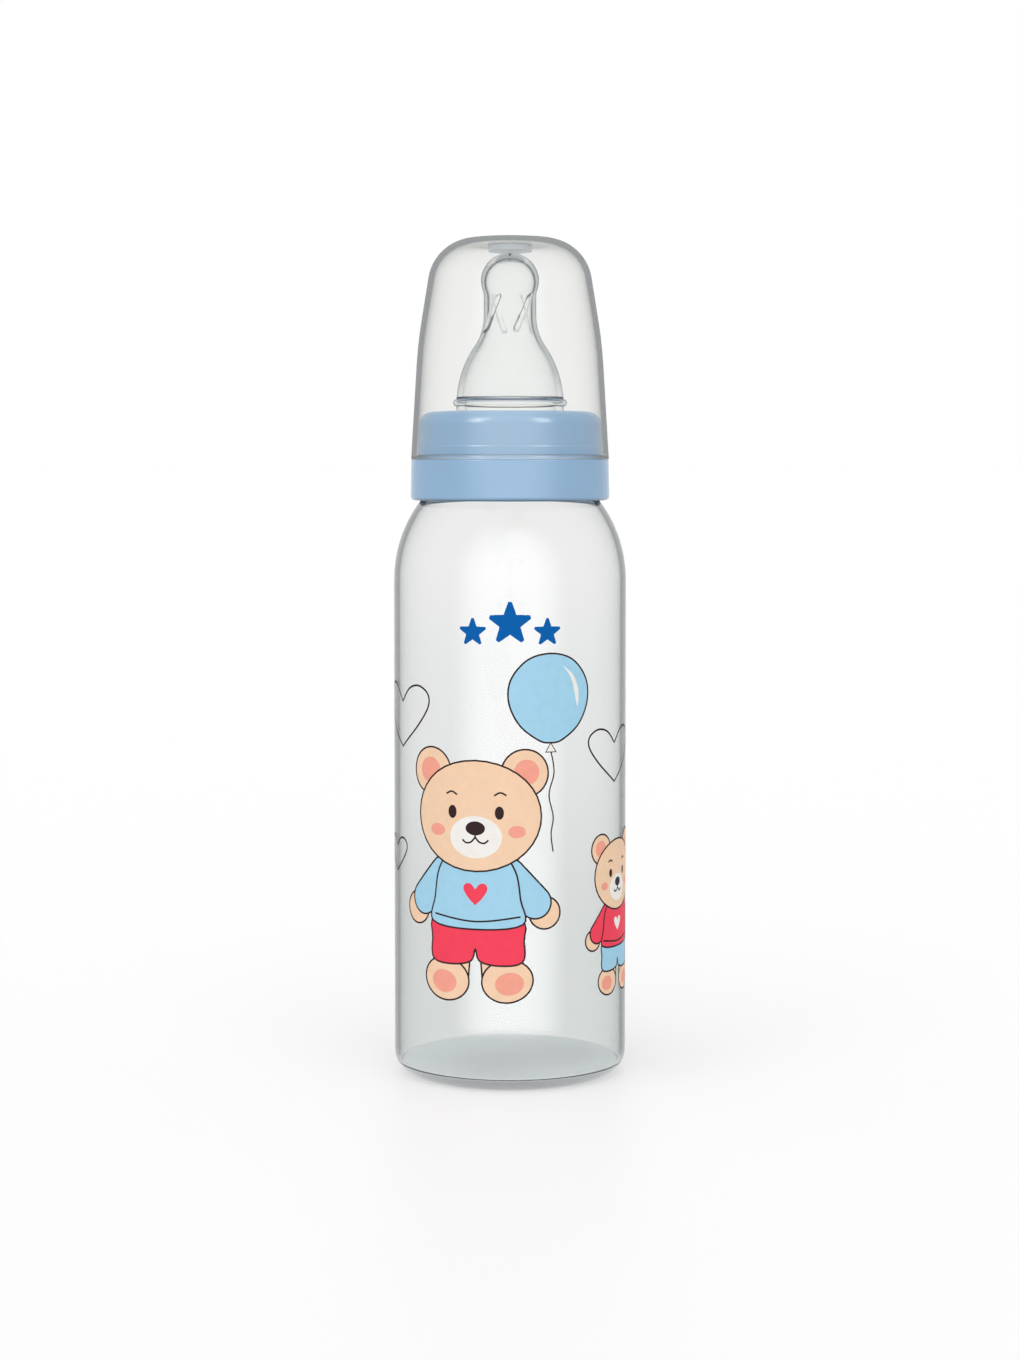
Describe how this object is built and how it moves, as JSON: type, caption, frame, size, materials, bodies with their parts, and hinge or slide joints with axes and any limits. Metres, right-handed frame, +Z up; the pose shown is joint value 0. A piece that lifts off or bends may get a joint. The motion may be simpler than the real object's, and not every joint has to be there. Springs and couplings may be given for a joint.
{
  "type": "baby bottle",
  "caption": "Clear narrow-neck baby feeding bottle with a soft clear teat held by a screw ring, under a clear push-on travel hood.",
  "frame": {"origin": "centre of the foot ring, on the plane the bottle stands on", "axes": "+Z up along the bottle's axis towards the teat; the printed side faces -Y and +X is to its right as seen from the front"},
  "size_m": [0.0544, 0.0544, 0.1954],
  "materials": {
    "clear_bottle": "clear polypropylene, glossy",
    "blue_ring": "opaque light-blue polypropylene, soft gloss",
    "silicone": "clear liquid silicone rubber, smooth",
    "clear_hood": "clear polypropylene, high gloss",
    "printed_ink": "screen-printed ink in several colours, satin"
  },
  "bodies": {
    "bottle": {"bottle_body": "clear_bottle"},
    "teat": {"teat": "silicone"},
    "ring": {"screw_ring": "blue_ring"},
    "hood": {"hood_cap": "clear_hood"}
  },
  "joints": [
    {"name": "teat_lift", "type": "slide", "parent": "bottle", "child": "teat", "axis": [0, 0, 1], "range_m": [0, 0.018]},
    {"name": "ring_turn", "type": "hinge", "parent": "teat", "child": "ring", "pos_m": [0, 0, 0.1447], "axis": [0, 0, 1], "range_deg": [0, 1620]},
    {"name": "hood_pull", "type": "slide", "parent": "ring", "child": "hood", "axis": [0, 0, 1], "range_m": [0, 0.06]}
  ],
  "couplings": [
    {"joint": "teat_lift", "follows": "ring_turn", "m_per_rad": 0.00063662}
  ]
}
